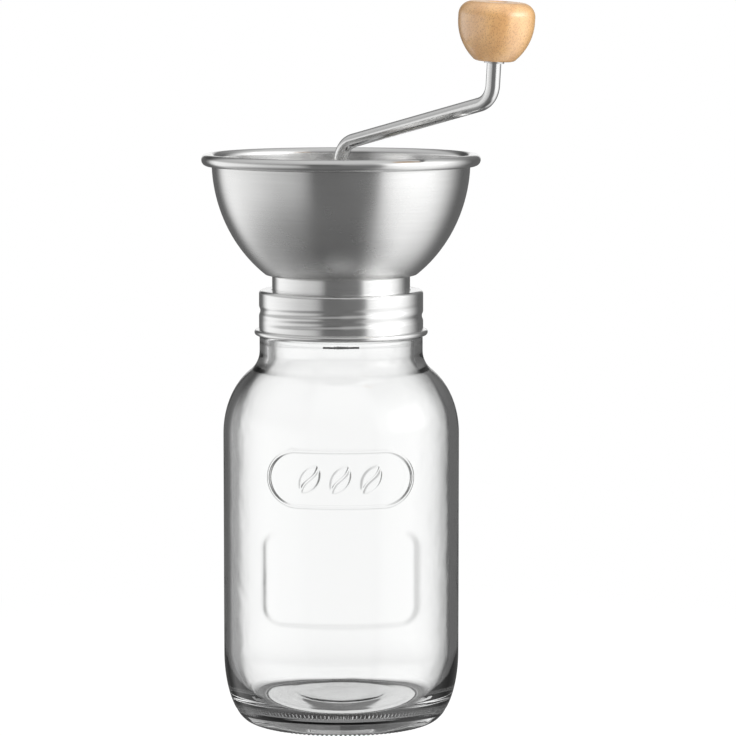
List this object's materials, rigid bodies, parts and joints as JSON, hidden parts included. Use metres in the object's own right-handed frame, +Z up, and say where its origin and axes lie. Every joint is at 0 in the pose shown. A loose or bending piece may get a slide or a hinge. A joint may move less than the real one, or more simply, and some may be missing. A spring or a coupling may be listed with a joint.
{
  "type": "hand crank coffee grinder",
  "caption": "Hand coffee grinder: a steel hopper bowl and ceramic burrs clamped on a glass preserve jar by a screw band, turned by a bent rod crank with a wooden knob.",
  "frame": {"origin": "centre of the ring that the jar stands on, on the axis of the jar and the crank shaft", "axes": "+Z up along the jar and shaft axis, -Y towards the label side of the jar, +X to the right of it"},
  "size_m": [0.1412, 0.1308, 0.3133],
  "materials": {
    "glass": "clear moulded glass with a faint green edge",
    "brushed_steel": "stainless steel with a fine spun grain round the axis",
    "satin_steel": "satin stainless steel, brighter on its edges",
    "polished_steel": "polished stainless rod",
    "zinc_steel": "plain bright steel",
    "spring_steel": "drawn stainless wire",
    "black_steel": "blackened steel",
    "bronze": "sintered bronze",
    "nylon": "matt black moulded nylon",
    "ceramic": "opaque matt white ceramic",
    "seal": "soft white silicone",
    "wood": "beech under a satin clear finish"
  },
  "bodies": {
    "jar": {"glass_jar": "glass"},
    "head": {"hopper_bowl": "brushed_steel", "collar": "satin_steel", "seal_ring": "seal", "burr_housing": "nylon", "outer_burr": "ceramic", "burr_retainer": "satin_steel", "retainer_screws": "zinc_steel", "bridge": "satin_steel", "shaft_bush": "bronze", "clamp_screws": "zinc_steel", "clamp_nuts": "zinc_steel", "thrust_washer": "bronze", "spring_washer": "zinc_steel"},
    "band": {"screw_band": "satin_steel"},
    "crank": {"crank_rod": "polished_steel", "thrust_collar": "zinc_steel", "collar_set_screw": "black_steel", "spring": "spring_steel", "knob_thrust_washer": "zinc_steel", "knob_screw": "black_steel", "knob_screw_washer": "zinc_steel"},
    "burr": {"burr_carrier": "nylon", "inner_burr": "ceramic", "click_washer": "zinc_steel"},
    "nut": {"adjusting_nut": "nylon"},
    "knob": {"knob": "wood", "knob_bush": "bronze"}
  },
  "joints": [
    {"name": "head_lift", "type": "slide", "parent": "jar", "child": "head", "axis": [0, 0, 1], "range_m": [0, 0.02925]},
    {"name": "band_turn", "type": "hinge", "parent": "head", "child": "band", "pos_m": [0, 0, 0.178], "axis": [0, 0, 1], "range_deg": [0, 2340]},
    {"name": "crank_turn", "type": "hinge", "parent": "head", "child": "crank", "pos_m": [0, 0, 0.202], "axis": [0, 0, 1], "continuous": true},
    {"name": "knob_spin", "type": "hinge", "parent": "crank", "child": "knob", "pos_m": [0.0632, -0.05303, 0.27136], "axis": [0.0521, -0.0437, 0.9977], "continuous": true},
    {"name": "burr_travel", "type": "slide", "parent": "crank", "child": "burr", "axis": [0, 0, 1], "range_m": [-0.001, 0.001], "deforming": ["spring"]},
    {"name": "nut_turn", "type": "hinge", "parent": "burr", "child": "nut", "pos_m": [0, 0, 0.167], "axis": [0, 0, 1], "range_deg": [-360, 360]}
  ],
  "couplings": [
    {"joint": "band_turn", "follows": "head_lift", "rad_per_m": 1396.3},
    {"joint": "nut_turn", "follows": "burr_travel", "rad_per_m": 6283.2}
  ]
}
